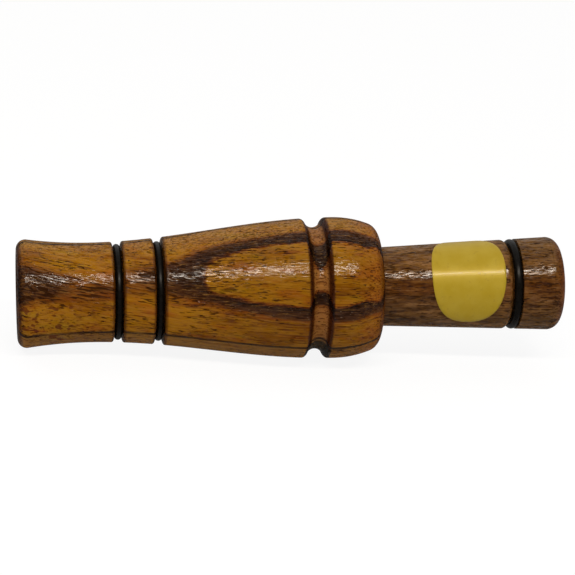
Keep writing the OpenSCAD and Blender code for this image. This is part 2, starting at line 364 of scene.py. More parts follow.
def reed():
    """The reed's strip, with sections close enough together to bend smoothly."""
    start = row_x(BOARD_TIP + REED_BACK)
    tip_angles = [math.radians(90 * i / REED_TIP_STEPS) for i in range(REED_TIP_STEPS + 1)]
    places = [REED_TIP_ROUND * (1 - math.cos(a)) for a in tip_angles]
    straight = REED_LEN - REED_TIP_ROUND
    places += [REED_TIP_ROUND + straight * i / REED_STEPS for i in range(1, REED_STEPS + 1)]
    points = []
    for x in places:
        inset = max(0.0, REED_TIP_ROUND - x)
        half = REED_W / 2 - REED_TIP_ROUND + math.sqrt(REED_TIP_ROUND**2 - inset**2)
        ys = [half * (2 * i / REED_ACROSS - 1) for i in range(REED_ACROSS + 1)]
        points += [(start + x, y, REED_CLEAR) for y in ys]
        points += [(start + x, y, REED_CLEAR + REED_T) for y in reversed(ys)]
    around = 2 * (REED_ACROSS + 1)
    faces = [tuple(reversed(range(around)))]
    for i in range(len(places) - 1):
        for k in range(around):
            beside = (k + 1) % around
            faces.append(
                (i * around + k, i * around + beside, (i + 1) * around + beside, (i + 1) * around + k)
            )
    faces.append(tuple((len(places) - 1) * around + k for k in range(around)))
    obj = piece("reed_strip", points, faces, [reed_film()], "reed", "reed", sharp=REED_SHARP)
    # The reed is taken off its body and kept in the row frame
    obj.parent = None
    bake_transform(obj)
    return obj


def label():
    """The oval sticker, wrapped round the taper, with a soft edge."""
    wrap_r = stopper_r(LABEL_PLACE)

    def wrapped(x, s, lift):
        turn = math.radians(LABEL_TURN) + s / (wrap_r + SEATED_CLEAR + LABEL_T)
        r = stopper_r(LABEL_PLACE + x) + SEATED_CLEAR + lift
        return (row_x(LABEL_PLACE + x), -r * math.cos(turn), r * math.sin(turn))

    def oval(share, a, inset=0.0):
        power = 2 / LABEL_SQUARENESS
        across, along = (math.copysign(abs(v) ** power, v) for v in (math.cos(a), math.sin(a)))
        return (LABEL_W / 2 * share - inset) * across, (LABEL_H / 2 * share - inset) * along

    angles = [2 * math.pi * k / LABEL_SPOKES for k in range(LABEL_SPOKES)]
    loops = [(i / LABEL_RINGS, LABEL_T, 0) for i in range(1, LABEL_RINGS)]
    loops += [(1, LABEL_T, LABEL_EASE), (1, LABEL_T - LABEL_EASE, 0), (1, 0.0, 0)]
    points = [wrapped(0, 0, LABEL_T)]
    for share, lift, inset in loops:
        points += [wrapped(*oval(share, a, inset), lift) for a in angles]
    points.append(wrapped(0, 0, 0.0))
    under = len(points) - 1
    faces = [(0, 1 + k, 1 + (k + 1) % LABEL_SPOKES) for k in range(LABEL_SPOKES)]
    for i in range(len(loops) - 1):
        near, far = 1 + i * LABEL_SPOKES, 1 + (i + 1) * LABEL_SPOKES
        for k in range(LABEL_SPOKES):
            beside = (k + 1) % LABEL_SPOKES
            faces.append((near + k, far + k, far + beside, near + beside))
    last = 1 + (len(loops) - 1) * LABEL_SPOKES
    faces += [(under, last + (k + 1) % LABEL_SPOKES, last + k) for k in range(LABEL_SPOKES)]
    looks = [label_foil()]
    return piece("label_sticker", points, faces, looks, "stopper", "label", sharp=ROUND_SHARP)


# Materials


def seen(red, green, blue):
    """A colour as it is seen on a screen, from 0 to 255 each, as the shader's linear values."""
    shares = [c / 255 for c in (red, green, blue)]
    return tuple(s / 12.92 if s <= 0.04045 else ((s + 0.055) / 1.055) ** 2.4 for s in shares) + (1.0,)


class Nodes:
    """A node tree under construction. A value is a plain one or another node's output."""

    def __init__(self, tree):
        self.tree = tree
        tree.nodes.clear()

    def add(self, kind, **settings):
        node = self.tree.nodes.new(kind)
        for name, value in settings.items():
            setattr(node, name, value)
        return node

    def link(self, source, target):
        self.tree.links.new(source, target)

    def put(self, value, socket):
        """Links a socket to an input, or sets a plain value on it."""
        if isinstance(value, bpy.types.NodeSocket):
            self.link(value, socket)
        else:
            socket.default_value = value

    def vector(self, operation, a, b=None, scale=None):
        node = self.add("ShaderNodeVectorMath", operation=operation)
        self.put(a, node.inputs[0])
        if b is not None:
            self.put(b, node.inputs[1])
        if scale is not None:
            self.put(scale, node.inputs["Scale"])
        return node.outputs["Value" if operation == "DOT_PRODUCT" else "Vector"]

    def math(self, operation, a, b=0.0, c=0.0):
        node = self.add("ShaderNodeMath", operation=operation)
        for value, socket in zip((a, b, c), node.inputs):
            self.put(value, socket)
        return node.outputs[0]

    def total(self, first, *others):
        for other in others:
            first = self.math("ADD", first, other)
        return first

    def product(self, first, *others):
        for other in others:
            first = self.math("MULTIPLY", first, other)
        return first

    def largest(self, first, *others):
        for other in others:
            first = self.math("MAXIMUM", first, other)
        return first

    def step(self, value, low, high, to_low=0.0, to_high=1.0):
        """A smooth step from to_low to to_high as value goes from low to high."""
        node = self.add("ShaderNodeMapRange", interpolation_type="SMOOTHSTEP")
        for given, name in (
            (value, "Value"),
            (low, "From Min"),
            (high, "From Max"),
            (to_low, "To Min"),
            (to_high, "To Max"),
        ):
            self.put(given, node.inputs[name])
        return node.outputs["Result"]

    def steps(self, value, rows):
        """The total of smooth steps up from 0. A row gives a step's start, its end and its height."""
        return self.total(*(self.step(value, low, high, 0, rise) for low, high, rise in rows))

    def show(self, kind, share, first, second):
        """Puts out two shaders, mixed by the share of the second."""
        both = self.add("ShaderNodeMixShader")
        self.put(share, both.inputs["Fac"])
        self.link(first.outputs[0], both.inputs[1])
        self.link(second.outputs[0], both.inputs[2])
        self.link(both.outputs[0], self.add(kind).inputs["Surface"])


class Look(Nodes):
    """A material made of nodes.

    place is the point in the piece's own frame, in millimetres, and along its place along the axis from the
    mouth end.
    """

    def __init__(self, name):
        self.material = bpy.data.materials.new(name)
        self.material.use_nodes = True
        super().__init__(self.material.node_tree)
        self.shader = self.add("ShaderNodeBsdfPrincipled")
        self.link(self.shader.outputs[0], self.add("ShaderNodeOutputMaterial").inputs["Surface"])
        point = self.add("ShaderNodeTexCoord").outputs["Object"]
        self.place = self.vector("SCALE", point, scale=1 / MM)
        self.along = self.total(self.vector("DOT_PRODUCT", self.place, (1, 0, 0)), OVERALL_LEN / 2)

    def noise(self, per_mm, detail=2.0, roughness=0.5, place=None, seed=0.0):
        """Cloudy noise, with its cells per millimetre along X, Y and Z."""
        stretched = self.vector("MULTIPLY", place or self.place, per_mm)
        node = self.add("ShaderNodeTexNoise", noise_dimensions="4D")
        self.link(stretched, node.inputs["Vector"])
        node.inputs["W"].default_value = seed
        node.inputs["Scale"].default_value = 1.0
        node.inputs["Detail"].default_value = detail
        node.inputs["Roughness"].default_value = roughness
        return node.outputs["Fac"]

    def centred(self, per_mm, detail, roughness, place, seed):
        """The same noise about 0."""
        return self.math("SUBTRACT", self.noise(per_mm, detail, roughness, place, seed), 0.5)

    def beside_place(self, place, near, far, soft):
        """1 at a distance of near to far from a place along the axis, and 0 soft beyond these."""
        away = self.math("ABSOLUTE", self.math("SUBTRACT", self.along, place))
        return self.product(self.step(away, near - soft, near), self.step(away, far, far + soft, 1, 0))

    def ramp(self, value, low, high, stops):
        """Colours along a value. Each stop is a value between low and high, and its colour."""
        share = self.math("DIVIDE", self.math("SUBTRACT", value, low), high - low)
        node = self.add("ShaderNodeValToRGB")
        self.link(share, node.inputs["Fac"])
        elements = node.color_ramp.elements
        while len(elements) > 1:
            elements.remove(elements[-1])
        for index, (at, colour) in enumerate(stops):
            element = elements[0] if index == 0 else elements.new((at - low) / (high - low))
            element.position = (at - low) / (high - low)
            element.color = colour
        return node.outputs["Color"]

    def mix(self, share, a, b, blend="MIX"):
        node = self.add("ShaderNodeMix", data_type="RGBA", blend_type=blend)
        self.put(share, node.inputs["Factor"])
        self.put(a, node.inputs["A"])
        self.put(b, node.inputs["B"])
        return node.outputs["Result"]

    def shade(self, share, colour, by):
        """A colour multiplied by another, as far as share says."""
        return self.mix(share, colour, by, "MULTIPLY")

    def bump(self, height, depth_mm):
        """A normal for a height from 0 to 1 that is depth_mm deep."""
        node = self.add("ShaderNodeBump")
        node.inputs["Strength"].default_value = 1.0
        node.inputs["Distance"].default_value = depth_mm * MM
        self.link(height, node.inputs["Height"])
        return node.outputs["Normal"]

    def set(self, **inputs):
        """Puts values or sockets on the shader's inputs, named with _ for a space."""
        for name, value in inputs.items():
            self.put(value, self.shader.inputs[name.replace("_", " ")])


# Direction that the barrel's growth layers face, in degrees above the front
LAYER_TILT = 35.3
# How far the fibres drift beside for each millimetre along, and how much more as far as a place
FIBRE_SLANT = 0.05
FRONT_SLANT = 0.16
FRONT_SLANT_END = 40
# How far the layers wave, for a noise from 0 to 1
SLOW_WAVE = 0.5
QUICK_WAVE = 0.7
FIBRE_WAVE = 0.9
# Smooth steps along the call, each with its start, its end and its rise: here of the layers' slope
LAYER_TURNS = ((2, 22, -0.12), (22, 27, 0.17), (50, 80, -0.045))
# Heights at the mouth of the dark band's start, of the gold heart's start above it and of the thin line, and
# the steps by which each moves along the call
BAND_START = 13.0
BAND_MOVES = ((2, 9, -0.32), (9, 14, 0.08), (21, 40, 0.72), (45, 75, 0.25), (88, 92, -0.8))
HEART_START = 15.1
HEART_MOVES = ((45.5, 48, -0.6), (48, 80, 1.4), (86, 92, -1.7))
LINE_START = 6.3
LINE_MOVES = ((2, 14, -0.7),)
LINE_SLOPE = 0.012
LINE_WAVE = 0.5
LINE_WAVER = 4
# How the band dips on the lip's rounding, and the layers rise on the lanyard groove's floor, for the square
# of a distance
LIP_EDGE = 2.6
LIP_EDGE_MOVE = -0.24
COVE_RISE = 0.14
# Depth below the band of a fine trail, and of the dark layer on the far side
TRAIL_DEPTH = 0.95
FAR_LAYER_DEPTH = 24.6

GOLD = seen(160, 105, 14)
OLIVE_GOLD = seen(156, 110, 12)
TAWNY = seen(152, 87, 12)
DULL_GOLD = seen(136, 98, 48)
# A paler, greyer gold painted on the crown as a sheen
CROWN_SHEEN_GOLD = seen(182, 136, 78)
COVE_BROWN = seen(152, 98, 50)
RIM_BROWN = seen(156, 88, 24)
RED_BROWN = seen(112, 56, 14)
CHOCOLATE = seen(66, 38, 20)
BLACK_BROWN = seen(34, 19, 10)
UMBER = seen(104, 66, 36)
FOOT_BROWN = seen(92, 52, 20)
CORE_BROWN = seen(128, 80, 36)
LINE_BROWN = seen(44, 28, 12)
TRAIL_BROWN = seen(92, 50, 14)
PALE_FIBRE = seen(200, 146, 64)
# Partly dust in open pores, partly a painted glint off their edges
DUST_AND_GLINT_SPECK = seen(150, 126, 104)
BARREL_PORE = seen(44, 22, 8)
LIP_SPOT = seen(88, 34, 8)
# Painted shade under the lanyard groove
UNDERSIDE_PAINTED_SHADE = seen(30, 27, 14)
# Colours that others are multiplied by
PATCH_SHADE = seen(204, 180, 130)
BULGE_SHADE = seen(222, 222, 226)
FIBRE_SHADE = seen(150, 110, 84)
# Stain, partly painted shade in the grooves' recesses
STAIN_AND_PAINTED_SHADE = seen(96, 48, 14)


class Figure:
    """The barrel's growth layers: height is across them and beside level with them, in millimetres.

    grain is a point that is still along the slanting fibres.
    """

    def __init__(self, look):
        tilt = math.radians(LAYER_TILT)
        across_layers = (0, -math.cos(tilt), math.sin(tilt))
        level = (0, math.sin(tilt), math.cos(tilt))
        place = look.along
        self.height = look.vector("DOT_PRODUCT", look.place, across_layers)
        self.beside = look.vector("DOT_PRODUCT", look.place, level)
        front_drift = look.product(look.math("MINIMUM", place, FRONT_SLANT_END), FRONT_SLANT)
        drift = look.total(front_drift, look.product(place, FIBRE_SLANT))
        self.grain = look.vector("ADD", look.place, look.vector("SCALE", level, scale=drift))
        self.fibres = look.noise((0.07, 2.4, 2.4), 3, 0.7, place=self.grain, seed=1.0)
        self.in_groove = look.beside_place(LANYARD_PLACE, 0, 2.4, 0.8)

        slow = look.centred((0.04, 0.1, 0.1), 1, 0.5, self.grain, 3.0)
        quick = look.centred((0.14, 0.9, 0.9), 3, 0.65, self.grain, 8.0)
        wavy = look.total(
            self.height,
            look.product(self.beside, look.steps(place, LAYER_TURNS)),
            look.product(slow, SLOW_WAVE),
            look.product(quick, QUICK_WAVE),
            look.product(look.math("SUBTRACT", self.fibres, 0.5), FIBRE_WAVE),
        )
        upper_dip = look.product(look.step(self.beside, 1, 5, 0, -0.3), look.step(place, 56, 70))
        lip_edge = look.math("MAXIMUM", look.math("SUBTRACT", LIP_EDGE, place), 0.0)
        band_start = look.total(
            look.steps(place, BAND_MOVES),
            BAND_START,
            look.product(lip_edge, lip_edge, LIP_EDGE_MOVE),
            self.move_in_cove(look, -0.1, -0.3),
            look.product(look.step(self.beside, 1, 5, 0, -0.2), look.beside_place(48.5, 0, 3, 6)),
            look.product(look.step(self.beside, -1, -4, 0, 0.2), look.step(place, 40, 47)),
            upper_dip,
        )
        heart_start = look.total(
            look.steps(place, HEART_MOVES),
            HEART_START,
            look.step(look.math("ABSOLUTE", self.beside), 1, 5, 0, 0.2),
            self.move_in_cove(look, -1.05, -0.3),
            upper_dip,
        )
        self.above_band = look.math("SUBTRACT", wavy, band_start)
        self.above_heart = look.math("SUBTRACT", wavy, heart_start)

        rise = look.product(place, LINE_SLOPE)
        line_start = look.total(look.steps(place, LINE_MOVES), LINE_START, rise)
        waver = look.product(look.step(self.beside, 0, 4, 0, LINE_WAVER), slow)
        line_height = look.total(self.height, look.product(quick, LINE_WAVE), waver)
        self.above_line = look.math("SUBTRACT", line_height, line_start)

    def move_in_cove(self, look, low_side, high_side):
        """How far a layer's start moves on the lanyard groove's floor."""
        from_middle = look.math("SUBTRACT", look.along, LANYARD_PLACE)
        rise = look.product(from_middle, from_middle, COVE_RISE)
        shift = look.step(self.beside, -1, 3, low_side, high_side)
        return look.product(self.in_groove, look.total(rise, shift))


def gold_wood(look, figure):
    """The pale layers, paler and greyer on the crown as a painted sheen, toned on the bulge, the cove and
    the rim, and below the thin line.
    """
    hue = look.noise((0.09, 0.4, 0.4), 2, 0.6, place=figure.grain, seed=5.0)
    patches = look.noise((0.05, 0.22, 0.22), 2, 0.6, place=figure.grain, seed=6.0)
    # Painted sheen: the crown is mixed towards a paler, greyer gold
    on_crown = look.step(figure.beside, 6, 12, 0, 0.25)
    on_bulge = look.product(look.step(look.along, 42, 60), look.step(figure.beside, 9, 5, 0, 0.55))
    below_line = look.step(figure.above_line, -0.2, 0.1, 0.65, 0)
    on_rim = look.step(look.along, BARREL_LEN - 9, BARREL_LEN - 1, 0, 0.6)
    gold = look.ramp(hue, 0.25, 0.75, [(0.33, OLIVE_GOLD), (0.46, GOLD), (0.54, GOLD), (0.66, TAWNY)])
    gold = look.shade(look.step(patches, 0.52, 0.34, 0, 0.8), gold, PATCH_SHADE)
    gold = look.mix(on_crown, gold, CROWN_SHEEN_GOLD)
    gold = look.shade(on_bulge, gold, BULGE_SHADE)
    gold = look.mix(look.product(figure.in_groove, 0.75), gold, COVE_BROWN)
    gold = look.mix(below_line, gold, DULL_GOLD)
    return look.mix(on_rim, gold, RIM_BROWN)


def dark_wood(look, figure):
    """The dark layer, browner at its foot, black at the heart, and with a paler core towards the mouth."""
    foot = look.step(figure.above_band, 0.9, 0.1, 0, 0.5)
    at_heart = look.step(figure.above_heart, -0.8, -0.1, 0, 0.65)
    thin = look.product(look.step(look.along, 9, 15), look.step(look.along, 40, 30))
    inner = look.step(figure.above_band, 0.3, 0.6, 0, look.step(look.along, 12, 6, 0, 0.3))
    core = look.product(look.largest(thin, inner), look.step(figure.fibres, 0.4, 0.6, 0.1, 0.75))
    tones = [(0.36, BLACK_BROWN), (0.5, CHOCOLATE), (0.62, CHOCOLATE), (0.72, UMBER)]
    dark = look.ramp(figure.fibres, 0, 1, tones)
    dark = look.mix(foot, dark, FOOT_BROWN)
    dark = look.mix(at_heart, dark, BLACK_BROWN)
    dark = look.mix(look.product(figure.in_groove, 0.6), dark, BLACK_BROWN)
    return look.mix(core, dark, CORE_BROWN)


def barrel_layers(look, figure):
    """Gold, the dark band and its red-brown edges, the gold heart and the other dark layers."""
    gold = gold_wood(look, figure)
    dark = dark_wood(look, figure)
    heart = look.mix(look.step(figure.above_heart, 0.05, 0.35), RED_BROWN, gold)
    soft = look.step(look.along, 48, 60, 0.45, 0.15)
    layers = look.mix(look.step(figure.above_band, -0.75, -0.1, 0, 0.75), gold, RED_BROWN)
    layers = look.mix(look.step(figure.above_band, -0.12, 0.12), layers, dark)
    layers = look.mix(look.step(figure.above_heart, look.product(soft, -1.0), soft), layers, heart)

    from_line = look.math("ABSOLUTE", figure.above_line)
    faint = look.noise((0.07, 0.3, 0.3), 2, 0.6, place=figure.grain, seed=9.0)
    line = look.product(look.step(from_line, 0.22, 0.62, 0.95, 0), look.step(faint, 0.36, 0.52, 0.55, 1))
    layers = look.mix(line, layers, LINE_BROWN)

    from_trail = look.math("ABSOLUTE", look.total(figure.above_band, TRAIL_DEPTH))
    trail_end = look.product(look.step(look.along, 36, 44), look.step(figure.beside, -2, -4))
    trail = look.product(look.step(from_trail, 0.05, 0.22, 0.6, 0), trail_end)
    layers = look.mix(trail, layers, TRAIL_BROWN)

    from_far_layer = look.math("ABSOLUTE", look.total(figure.above_band, FAR_LAYER_DEPTH))
    return look.mix(look.step(from_far_layer, 0.7, 1.1, 1, 0), layers, dark)


def barrel_colour(look):
    """The layers under their fibres, specks (partly dust, partly painted glints), pores, spots, stains that
    are partly painted shade, and painted shade under the lanyard groove. Gives the grain and the pores too.
    """
    figure = Figure(look)
    grain, fibres = figure.grain, figure.fibres
    # Pale specks in the dark layer: partly dust in open pores, partly painted glints off their edges
    specks = look.step(look.noise((1.2, 3.0, 3.0), 1, place=grain, seed=19.0), 0.66, 0.73, 0, 0.3)
    in_dark = look.product(look.step(figure.above_band, 0.1, 0.3), look.step(figure.above_heart, 0.1, -0.1))
    pores = barrel_pores(look, figure)
    spots = look.step(look.noise((0.45, 0.75, 0.75), 1, place=grain, seed=14.0), 0.56, 0.63)
    low_lip = look.product(look.step(look.along, 18, 12), look.step(figure.beside, -4, -6))
    # Painted shade: the underside of the lanyard groove is painted near-black
    underside = look.product(look.step(figure.height, 6.2, 5.0), look.step(figure.beside, -2, -7))
    cove = look.product(look.beside_place(LANYARD_PLACE, 0, 2.9, 0.6), underside)

    colour = barrel_layers(look, figure)
    colour = look.shade(look.step(fibres, 0.5, 0.33, 0, 0.85), colour, FIBRE_SHADE)
    colour = look.mix(look.step(fibres, 0.52, 0.72, 0, 0.28), colour, PALE_FIBRE)
    colour = look.mix(look.product(specks, in_dark), colour, DUST_AND_GLINT_SPECK)
    colour = look.mix(look.product(pores, 0.85), colour, BARREL_PORE)
    colour = look.mix(look.product(spots, low_lip, 0.75), colour, LIP_SPOT)
    # Stain at the ends, and painted shade mixed with stain on the groove walls and beside the rings
    colour = look.shade(look.product(barrel_stain_and_shade(look), 0.9), colour, STAIN_AND_PAINTED_SHADE)
    colour = look.mix(look.product(cove, 0.85), colour, UNDERSIDE_PAINTED_SHADE)
    return colour, grain, pores


def barrel_pores(look, figure):
    """Dashes along the grain, long cracks where the dark layer reaches the skin, and dots on the crown."""
    dashes = wood_pores(look, figure.grain, 0.4, 3.3)
    cracks = look.step(look.noise((0.15, 2.2, 2.2), 1, 0.5, place=figure.grain, seed=16.0), 0.55, 0.59)
    in_band = look.product(look.step(figure.above_band, -0.4, -0.1), look.step(look.along, 58, 48))
    dots = look.step(look.noise((1.3, 2.8, 2.8), 1, 0.5, place=figure.grain, seed=18.0), 0.55, 0.63)
    on_crown = look.product(look.step(figure.beside, 7, 10), 0.6)
    return look.largest(dashes, look.product(dots, on_crown), look.product(cracks, in_band))


def barrel_stain_and_shade(look):
    """Where finish and dirt gather, darker at the barrel's ends; on the cove's walls and beside the rings
    the darkening is partly stain and partly painted shade in the recesses.
    """
    # The cove's walls and the ring grooves' sides: painted shade, partly stain
    walls = look.beside_place(LANYARD_PLACE, 2.15, 2.75, 0.7)
    front = look.product(look.beside_place(FRONT_RING_PLACE, 0, 1.4, 0.6), 0.7)
    rear = look.product(look.beside_place(REAR_RING_PLACE, 0, 1.4, 0.6), 0.7)
    rim = look.step(look.along, BARREL_LEN - 2.6, BARREL_LEN - 0.4, 0, 0.6)
    mouth = look.step(look.along, 1.7, 0.3, 0, 0.9)
    return look.largest(walls, front, rear, rim, mouth)


def wood_pores(look, grain, along, across, more=0.0):
    """Short dashes along the grain, given as cells per millimetre along and across it."""
    cells = look.noise((along, across, across), 1, 0.5, place=grain, seed=12.0)
    patches = look.noise((0.06, 0.3, 0.3), 1, place=grain, seed=17.0)
    limit = look.step(patches, 0.3, 0.7, 0.66, 0.57)
    return look.step(look.math("SUBTRACT", cells, limit), -more, PORE_EDGE - more)


# How much the noise rises from the wood into a pore
PORE_EDGE = 0.06
COAT_IOR = 1.5
LACQUER_ROUGHNESS = 0.1
LACQUER_RELIEF = 0.16
# How much an open pore changes the gloss, and the least and the most gloss of a fleck, as shares of it
PORE_GLOSS = -0.9
FLECK_LOW = 0.1
FLECK_HIGH = 1.7
BARREL_GLOSS = 0.34
BARREL_RIPPLE = 0.4
STOPPER_GLOSS = 0.44
STOPPER_RIPPLE = 0.35
# The turning tool's rings in a bore, in radians per millimetre, and their share of the relief
TOOL_RINGS = 14.0
TOOL_RING_SHARE = 0.12
BORE_RELIEF = 0.05
BORE_SHADE_SHARE = 0.6


def lacquered(look, colour, grain, pores, gloss, ripple):
    """Wood under a gloss lacquer that follows the fibres and the open pores and breaks up into flecks."""
    ripples = look.noise((0.35, 2.4, 2.4), 2, 0.6, place=grain, seed=26.0)
    height = look.math("MULTIPLY_ADD", ripples, ripple, look.product(pores, -1.0))
    relief = look.bump(height, LACQUER_RELIEF)
    shut = look.math("MULTIPLY_ADD", pores, PORE_GLOSS, 1.0)
    flecks = look.noise((0.5, 3.0, 3.0), 1, 0.6, place=grain, seed=27.0)
    flecks = look.step(flecks, 0.38, 0.62, FLECK_LOW * gloss, FLECK_HIGH * gloss)
    look.set(
        Base_Color=colour,
        Roughness=look.step(ripples, 0.3, 0.7, 0.42, 0.55),
        Specular_IOR_Level=0.0,
        Coat_Weight=look.product(flecks, shut),
        Coat_IOR=COAT_IOR,
        Coat_Roughness=LACQUER_ROUGHNESS,
        Normal=relief,
        Coat_Normal=relief,
    )
    return look.material


def bare(look, colour, grain, pores, shade):
    """The same wood where it is only bored or turned, with the tool's fine rings."""
    fibres = look.noise((0.1, 2.4, 2.4), 3, 0.7, place=grain, seed=28.0)
    rings = look.math("SINE", look.product(look.along, TOOL_RINGS))
    height = look.math("MULTIPLY_ADD", rings, TOOL_RING_SHARE, look.math("SUBTRACT", fibres, pores))
    look.set(
        Base_Color=look.shade(BORE_SHADE_SHARE, colour, shade),
        Roughness=look.step(fibres, 0.3, 0.7, 0.6, 0.8),
        Specular_IOR_Level=0.2,
        Normal=look.bump(height, BORE_RELIEF),
    )
    return look.material


def barrel_wood():
    look = Look("barrel_wood")
    colour, grain, pores = barrel_colour(look)
    return lacquered(look, colour, grain, pores, BARREL_GLOSS, BARREL_RIPPLE)


def barrel_bore():
    look = Look("barrel_bore")
    colour, grain, pores = barrel_colour(look)
    return bare(look, colour, grain, pores, seen(170, 140, 110))


# Walnut tones by height, and the direction that its layers face
WALNUT_UP = (0, 0.25, 0.97)
WALNUT_WAVE = 6.0
WALNUT_REACH = 13
WALNUT_LAYERS = (
    (-12, seen(114, 82, 44)),
    (-7, seen(100, 69, 34)),
    (-3, seen(122, 81, 37)),
    (-1, seen(116, 73, 28)),
    (1, seen(104, 61, 20)),
    (3, seen(112, 68, 22)),
    (5, seen(118, 77, 30)),
    (9, seen(118, 79, 31)),
    (12, seen(124, 88, 42)),
)
# Painted shade on the stopper's lower side next to the barrel
WALNUT_LOW_PAINTED_SHADE = seen(200, 198, 196)
WALNUT_CLOUD_SHADE = seen(140, 104, 78)
WALNUT_FIBRE_SHADE = seen(144, 110, 84)
WALNUT_CAP_SHADE = seen(212, 208, 204)
WALNUT_WARM = seen(148, 104, 60)
WALNUT_PALE_FIBRE = seen(156, 116, 72)
WALNUT_RED_END = seen(124, 60, 22)
WALNUT_PORE = seen(40, 22, 10)


def stopper_colour(look):
    """Walnut in level layers, darker above the middle, with painted shade low ahead of the label next to the
    barrel, and with a redder end.
    """
    wave = look.centred((0.03, 0.3, 0.3), 3, 0.6, look.place, 21.0)
    height = look.math("MULTIPLY_ADD", wave, WALNUT_WAVE, look.vector("DOT_PRODUCT", look.place, WALNUT_UP))
    # Painted shade on the stopper's lower side next to the barrel
    low_painted_shade = look.product(look.step(height, -6.0, -4.0), look.step(height, 1.0, -2.0))
    low_painted_shade = look.product(low_painted_shade, look.step(look.along, 122, 116, 0, 0.9))
    clouds = look.noise((0.16, 0.6, 0.6), 3, 0.65, place=look.place, seed=22.0)
    fibres = look.noise((0.09, 2.6, 2.6), 3, 0.7, seed=23.0)
    on_end = look.step(look.along, OVERALL_LEN - 3, OVERALL_LEN, 0, 0.5)
    pores = wood_pores(look, look.place, 0.5, 3.6, 0.03)

    colour = look.ramp(height, -WALNUT_REACH, WALNUT_REACH, WALNUT_LAYERS)
    colour = look.shade(low_painted_shade, colour, WALNUT_LOW_PAINTED_SHADE)
    colour = look.shade(look.step(clouds, 0.52, 0.34, 0, 0.75), colour, WALNUT_CLOUD_SHADE)
    colour = look.mix(look.step(clouds, 0.5, 0.66, 0, 0.65), colour, WALNUT_WARM)
    colour = look.shade(look.step(fibres, 0.52, 0.3, 0, 0.7), colour, WALNUT_FIBRE_SHADE)
    colour = look.mix(look.step(fibres, 0.52, 0.78, 0, 0.3), colour, WALNUT_PALE_FIBRE)
    colour = look.shade(look.step(look.along, 122, 131, 0, 0.45), colour, WALNUT_CAP_SHADE)
    colour = look.mix(on_end, colour, WALNUT_RED_END)
    return look.mix(look.product(pores, 0.75), colour, WALNUT_PORE), pores


def stopper_wood():
    look = Look("stopper_wood")
    colour, pores = stopper_colour(look)
    return lacquered(look, colour, look.place, pores, STOPPER_GLOSS, STOPPER_RIPPLE)


def stopper_bore():
    look = Look("stopper_bore")
    colour, pores = stopper_colour(look)
    return bare(look, colour, look.place, pores, seen(200, 180, 160))


def black_rubber():
    look = Look("black_rubber")
    dust = look.noise((1.2, 1.2, 1.2), 3, 0.6, seed=31.0)
    skin = look.noise((6.0, 6.0, 6.0), 2, 0.5, seed=33.0)
    look.set(
        Base_Color=look.mix(look.step(dust, 0.45, 0.75, 0, 0.6), seen(13, 10, 7), seen(26, 23, 20)),
        Roughness=look.step(dust, 0.35, 0.7, 0.26, 0.36),
        Specular_IOR_Level=0.09,
        Normal=look.bump(skin, 0.01),
    )
    return look.material


def board_plastic():
    look = Look("board_plastic")
    scratches = look.noise((0.4, 9.0, 9.0), 2, 0.6, seed=41.0)
    clouds = look.noise((0.3, 0.3, 0.3), 2, seed=43.0)
    look.set(
        Base_Color=look.mix(look.step(clouds, 0.3, 0.7), seen(30, 27, 25), seen(46, 42, 38)),
        Roughness=look.step(scratches, 0.35, 0.7, 0.3, 0.5),
        Specular_IOR_Level=0.4,
        Normal=look.bump(scratches, 0.008),
    )
    return look.material


def reed_film():
    look = Look("reed_film")
    clouds = look.noise((0.25, 0.5, 0.5), 2, seed=51.0)
    sanding = look.noise((0.6, 12.0, 12.0), 2, 0.6, seed=53.0)
    look.set(
        Base_Color=look.mix(look.step(clouds, 0.3, 0.7), seen(222, 219, 208), seen(238, 236, 226)),
        Roughness=look.step(sanding, 0.35, 0.7, 0.22, 0.42),
        Transmission_Weight=0.35,
        Normal=look.bump(sanding, 0.004),
    )
    return look.material


# Cells of the cork per millimetre
CORK_CELLS = 1.1


def cork():
    look = Look("cork")
    grains = look.add("ShaderNodeTexVoronoi", feature="F1")
    edges = look.add("ShaderNodeTexVoronoi", feature="DISTANCE_TO_EDGE")
    for cells in (grains, edges):
        look.link(look.place, cells.inputs["Vector"])
        cells.inputs["Scale"].default_value = CORK_CELLS
    tone = look.add("ShaderNodeSeparateColor")
    look.link(grains.outputs["Color"], tone.inputs[0])
    body = look.mix(tone.outputs[0], seen(196, 152, 104), seen(170, 120, 74))
    gaps = look.step(edges.outputs["Distance"], 0.0, 0.09, 1, 0)
    pits = look.step(look.noise((0.7, 0.7, 0.7), 2, seed=61.0), 0.62, 0.7)
    marks = look.largest(look.product(gaps, 0.55), pits)
    look.set(
        Base_Color=look.mix(look.product(marks, 0.8), body, seen(84, 52, 30)),
        Roughness=look.step(tone.outputs[0], 0, 1, 0.75, 0.9),
        Specular_IOR_Level=0.2,
        Normal=look.bump(look.math("SUBTRACT", 1.0, marks), 0.12),
    )
    return look.material


def label_foil():
    look = Look("label_foil")
    wrinkles = look.noise((0.25, 0.25, 0.25), 3, 0.5, seed=71.0)
    satin = look.noise((9.0, 1.5, 1.5), 2, 0.6, seed=73.0)
    wear = look.step(look.noise((0.8, 0.8, 0.8), 3, 0.6, seed=75.0), 0.58, 0.7)
    tone = look.mix(look.step(wrinkles, 0.3, 0.7), seen(179, 150, 36), seen(187, 159, 50))
    look.set(
        Base_Color=look.mix(look.product(wear, 0.25), tone, seen(140, 112, 40)),
        Metallic=0.04,
        Roughness=look.step(satin, 0.3, 0.7, 0.32, 0.42),
        Specular_IOR_Level=0.07,
        Coat_Weight=0.16,
        Coat_IOR=COAT_IOR,
        Coat_Roughness=0.04,
        Normal=look.bump(wrinkles, 0.03),
    )
    return look.material


# The call

